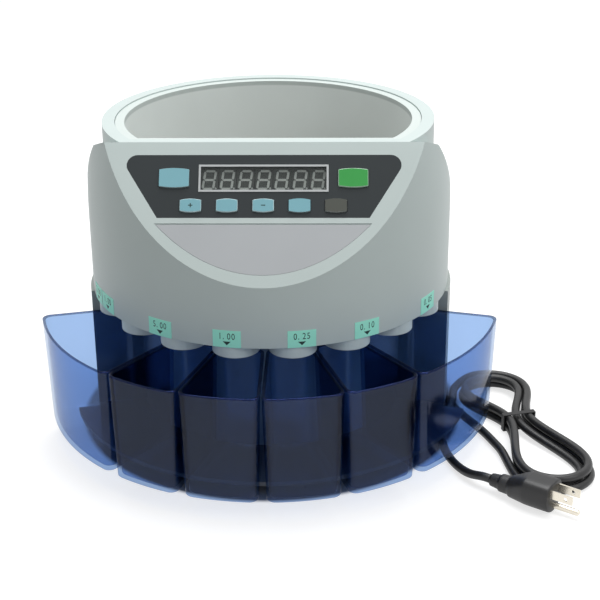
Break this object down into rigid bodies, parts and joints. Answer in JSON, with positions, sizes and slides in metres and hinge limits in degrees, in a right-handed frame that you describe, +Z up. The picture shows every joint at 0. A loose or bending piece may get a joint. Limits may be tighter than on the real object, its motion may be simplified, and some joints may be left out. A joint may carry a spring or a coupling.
{
  "type": "coin counting machine",
  "caption": "Counter-top coin counter and sorter: round feed hopper in a grey drum head, sloping display and key panel, ring of outlet spouts over clear blue coin boxes, tied mains lead.",
  "frame": {"origin": "centre of the machine's footprint on the surface it stands on, without the mains lead", "axes": "+Z up, -Y towards the user (the side of the panel), +X to the user's right"},
  "size_m": [0.4325, 0.4306, 0.2505],
  "materials": {
    "head_grey": "fine textured moulded plastic",
    "casing_grey": "fine textured moulded plastic",
    "spout_grey": "satin moulded plastic",
    "bowl_grey": "satin moulded plastic",
    "insert_grey": "satin film on plastic",
    "overlay": "satin printed film",
    "window": "dark smoked pane",
    "digits": "unlit segments",
    "key_blue": "satin key cap",
    "key_green": "satin key cap",
    "key_grey": "satin key cap",
    "label": "printed sticker",
    "box_blue": "translucent tinted plastic",
    "dark_plastic": "textured",
    "black_plastic": "satin",
    "rubber": "matte",
    "rubber_brown": "matte",
    "cord": "soft vinyl",
    "steel": "brushed",
    "disc_metal": "turned",
    "aluminium": "cast",
    "motor_metal": "satin",
    "board": "solder mask",
    "brass": "polished",
    "switch_red": "gloss"
  },
  "bodies": {
    "machine": {"base_plate": "dark_plastic", "rubber_feet": "rubber", "lower_casing": "casing_grey", "rear_cover": "dark_plastic", "spout_ring": "spout_grey", "head_shell": "head_grey", "panel_insert": "insert_grey", "hopper_bowl": "bowl_grey", "keypad_overlay": "overlay", "display_window": "window", "display_bezel": "steel", "display_board": "board", "digit_modules": "digits", "key_switches": "black_plastic", "outlet_labels": "label", "sorting_deck": "steel", "sorting_rail": "steel", "coin_sensors": "black_plastic", "bearing_housing": "aluminium", "spindle_bearings": "steel", "drive_belt": "rubber", "motor": "motor_metal", "motor_bracket": "steel", "main_board": "board", "transformer": "motor_metal", "fuse_holder": "black_plastic", "switch_body": "black_plastic", "casing_screws": "steel", "cover_screws": "steel", "cord_gland": "black_plastic", "cord_lead": "cord", "cord_hank": "cord", "cord_tail": "cord", "cord_tie": "black_plastic", "plug_body": "cord", "plug_blades": "brass", "plug_ground_pin": "brass"},
    "disc": {"sorting_disc": "disc_metal", "disc_pad": "rubber_brown", "spreader_cap": "steel", "spindle": "steel", "disc_pulley": "black_plastic"},
    "motor_rotor": {"motor_pulley": "black_plastic", "motor_shaft": "steel"},
    "power_rocker": {"switch_rocker": "switch_red"},
    "key_report": {"key_report": "key_blue"},
    "key_start": {"key_start": "key_green"},
    "key_plus": {"key_plus": "key_blue"},
    "key_batch": {"key_batch": "key_blue"},
    "key_minus": {"key_minus": "key_blue"},
    "key_set": {"key_set": "key_blue"},
    "key_clear": {"key_clear": "key_grey"},
    "coin_box_1": {"coin_box_1": "box_blue"},
    "coin_box_2": {"coin_box_2": "box_blue"},
    "coin_box_3": {"coin_box_3": "box_blue"},
    "coin_box_4": {"coin_box_4": "box_blue"},
    "coin_box_5": {"coin_box_5": "box_blue"},
    "coin_box_6": {"coin_box_6": "box_blue"}
  },
  "joints": [
    {"name": "disc_spin", "type": "hinge", "parent": "machine", "child": "disc", "pos_m": [0, 0.02575, 0.1], "axis": [0, 0, 1], "continuous": true},
    {"name": "motor_spin", "type": "hinge", "parent": "machine", "child": "motor_rotor", "pos_m": [0, 0.10575, 0.08], "axis": [0, 0, 1], "continuous": true},
    {"name": "key_report_press", "type": "slide", "parent": "machine", "child": "key_report", "axis": [0, 0.7771, -0.6293], "range_m": [0, 0.0008], "stiffness_N_per_m": 500, "springref_m": -0.002},
    {"name": "key_start_press", "type": "slide", "parent": "machine", "child": "key_start", "axis": [0, 0.7771, -0.6293], "range_m": [0, 0.0008], "stiffness_N_per_m": 500, "springref_m": -0.002},
    {"name": "key_plus_press", "type": "slide", "parent": "machine", "child": "key_plus", "axis": [0, 0.7771, -0.6293], "range_m": [0, 0.0008], "stiffness_N_per_m": 500, "springref_m": -0.002},
    {"name": "key_batch_press", "type": "slide", "parent": "machine", "child": "key_batch", "axis": [0, 0.7771, -0.6293], "range_m": [0, 0.0008], "stiffness_N_per_m": 500, "springref_m": -0.002},
    {"name": "key_minus_press", "type": "slide", "parent": "machine", "child": "key_minus", "axis": [0, 0.7771, -0.6293], "range_m": [0, 0.0008], "stiffness_N_per_m": 500, "springref_m": -0.002},
    {"name": "key_set_press", "type": "slide", "parent": "machine", "child": "key_set", "axis": [0, 0.7771, -0.6293], "range_m": [0, 0.0008], "stiffness_N_per_m": 500, "springref_m": -0.002},
    {"name": "key_clear_press", "type": "slide", "parent": "machine", "child": "key_clear", "axis": [0, 0.7771, -0.6293], "range_m": [0, 0.0008], "stiffness_N_per_m": 500, "springref_m": -0.002},
    {"name": "coin_box_1_slide", "type": "slide", "parent": "machine", "child": "coin_box_1", "axis": [-0.9659, -0.2588, 0], "range_m": [0, 0.04]},
    {"name": "coin_box_2_slide", "type": "slide", "parent": "machine", "child": "coin_box_2", "axis": [-0.4596, -0.8881, 0], "range_m": [0, 0.04]},
    {"name": "coin_box_3_slide", "type": "slide", "parent": "machine", "child": "coin_box_3", "axis": [-0.1585, -0.9874, 0], "range_m": [0, 0.04]},
    {"name": "coin_box_4_slide", "type": "slide", "parent": "machine", "child": "coin_box_4", "axis": [0.1585, -0.9874, 0], "range_m": [0, 0.04]},
    {"name": "coin_box_5_slide", "type": "slide", "parent": "machine", "child": "coin_box_5", "axis": [0.4596, -0.8881, 0], "range_m": [0, 0.04]},
    {"name": "coin_box_6_slide", "type": "slide", "parent": "machine", "child": "coin_box_6", "axis": [0.9659, -0.2588, 0], "range_m": [0, 0.04]},
    {"name": "power_rocker_tilt", "type": "hinge", "parent": "machine", "child": "power_rocker", "pos_m": [-0.028, 0.15575, 0.057], "axis": [1, 0, 0], "range_deg": [0, 16]}
  ],
  "couplings": [
    {"joint": "motor_spin", "follows": "disc_spin", "ratio": 4}
  ]
}
